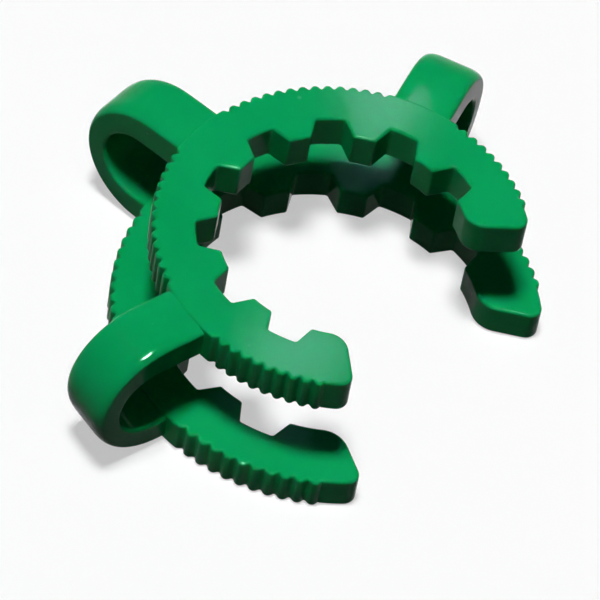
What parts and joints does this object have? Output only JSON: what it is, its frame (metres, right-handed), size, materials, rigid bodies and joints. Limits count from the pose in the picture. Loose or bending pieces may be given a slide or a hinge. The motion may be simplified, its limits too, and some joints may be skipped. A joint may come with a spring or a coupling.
{
  "type": "ground glass joint clip",
  "caption": "One-piece moulded spring clip for a tapered ground glass joint: two toothed C-shaped rings of unequal size joined by U-shaped loops.",
  "frame": {"origin": "on the common axis of the two rings, at the underside of the lower ring", "axes": "+Z along the glass joint's axis, up towards the smaller ring that holds the cone's neck; +X out of the mouth; +Y across it"},
  "size_m": [0.0422, 0.055, 0.0143],
  "materials": {
    "green_acetal": "smooth moulded acetal with a soft gloss"
  },
  "bodies": {
    "root": {"joint_clip": "green_acetal"}
  },
  "joints": []
}
